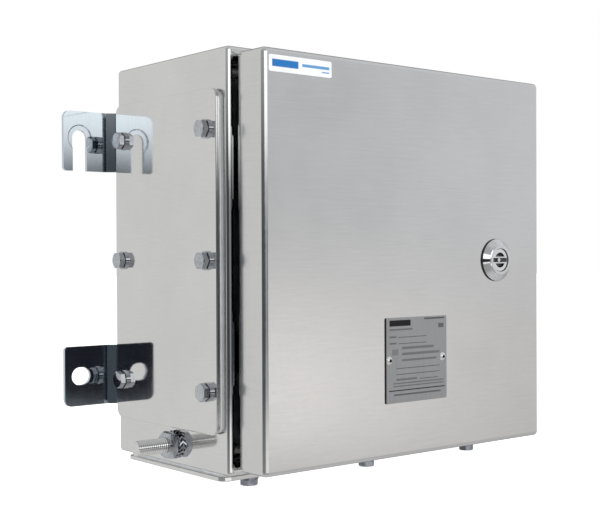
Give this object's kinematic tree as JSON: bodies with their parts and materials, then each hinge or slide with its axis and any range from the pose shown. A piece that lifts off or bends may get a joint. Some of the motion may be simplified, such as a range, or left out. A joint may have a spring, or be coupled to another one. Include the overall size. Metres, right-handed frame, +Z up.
{
  "type": "fused disconnect enclosure",
  "caption": "Wall-mounted stainless box with hinged door, quarter-turn lock, gland plates, mounting feet, earthing stud and a swing-out fuse switch inside.",
  "frame": {"origin": "midway between the two lower foot slots, on the wall plane (back of the feet)", "axes": "+X to the right seen from the front, +Y towards the wall, +Z up; the door faces -Y"},
  "size_m": [0.3382, 0.1664, 0.2698],
  "materials": {
    "stainless": "finely ground stainless sheet",
    "stainless_bright": "bright rolled stainless strip",
    "fixing_steel": "stainless fixings",
    "lock_chrome": "polished chrome",
    "plated_steel": "zinc plated steel",
    "etched_plate": "satin etched plate",
    "label_white": "white printed foil, plain bars only",
    "seal_light": "light silicone",
    "seal_black": "black rubber",
    "seal_foam": "foamed seal",
    "moulding_grey": "light grey moulding",
    "moulding_dark": "charcoal moulding",
    "moulding_beige": "beige moulding",
    "moulding_earth": "green and yellow moulding",
    "contact_copper": "tinned copper alloy",
    "cap_metal": "nickel plated cap",
    "barrel_ceramic": "glazed ceramic"
  },
  "bodies": {
    "enclosure": {"enclosure_body": "stainless", "side_gland_plate": "stainless", "side_gland_gasket": "seal_light", "side_plate_screws": "fixing_steel", "side_plate_washers": "fixing_steel", "side_plate_nuts": "fixing_steel", "bottom_gland_plate": "stainless", "bottom_gland_gasket": "seal_light", "bottom_plate_screws": "fixing_steel", "bottom_plate_washers": "fixing_steel", "bottom_plate_nuts": "fixing_steel", "foot_upper_left": "stainless_bright", "foot_upper_right": "stainless_bright", "foot_lower_left": "stainless_bright", "foot_lower_right": "stainless_bright", "earth_stud": "fixing_steel", "earth_nuts": "fixing_steel", "earth_toothed_washer": "plated_steel", "earth_inner_washer": "fixing_steel", "hinge_body_leaves": "fixing_steel", "hinge_pins": "fixing_steel", "panel_studs": "fixing_steel", "panel_spacers": "plated_steel", "panel_nuts": "fixing_steel", "mounting_panel": "plated_steel", "din_rail": "plated_steel", "rail_screws": "plated_steel", "switch_base": "moulding_grey", "switch_contacts": "contact_copper", "switch_terminals": "plated_steel", "carrier_pivot_pin": "fixing_steel", "terminal_blocks": "moulding_beige", "earth_terminals": "moulding_earth", "terminal_screws": "plated_steel", "end_stops": "moulding_dark"},
    "door": {"door_shell": "stainless", "door_gasket": "seal_foam", "hinge_door_leaves": "fixing_steel", "rating_plate": "etched_plate", "plate_rivets": "lock_chrome", "door_label": "label_white", "lock_housing": "lock_chrome", "lock_seal": "seal_black", "lock_ring_nut": "fixing_steel"},
    "lock": {"lock_rotor": "lock_chrome", "lock_cam": "plated_steel", "cam_nut": "fixing_steel"},
    "carriers": {"fuse_carriers": "moulding_dark", "carrier_tie_bar": "fixing_steel", "fuse_barrels": "barrel_ceramic", "fuse_caps": "cap_metal"}
  },
  "joints": [
    {"name": "door_hinge", "type": "hinge", "parent": "enclosure", "child": "door", "pos_m": [-0.1207, -0.1474, 0.0776], "axis": [0, 0, -1], "range_deg": [0, 100]},
    {"name": "lock_turn", "type": "hinge", "parent": "door", "child": "lock", "pos_m": [0.0791, -0.1618, 0.0768], "axis": [0, -1, 0], "range_deg": [0, 90]},
    {"name": "carrier_swing", "type": "hinge", "parent": "enclosure", "child": "carriers", "pos_m": [-0.058, -0.074, 0.0547], "axis": [1, 0, 0], "range_deg": [0, 70]}
  ]
}
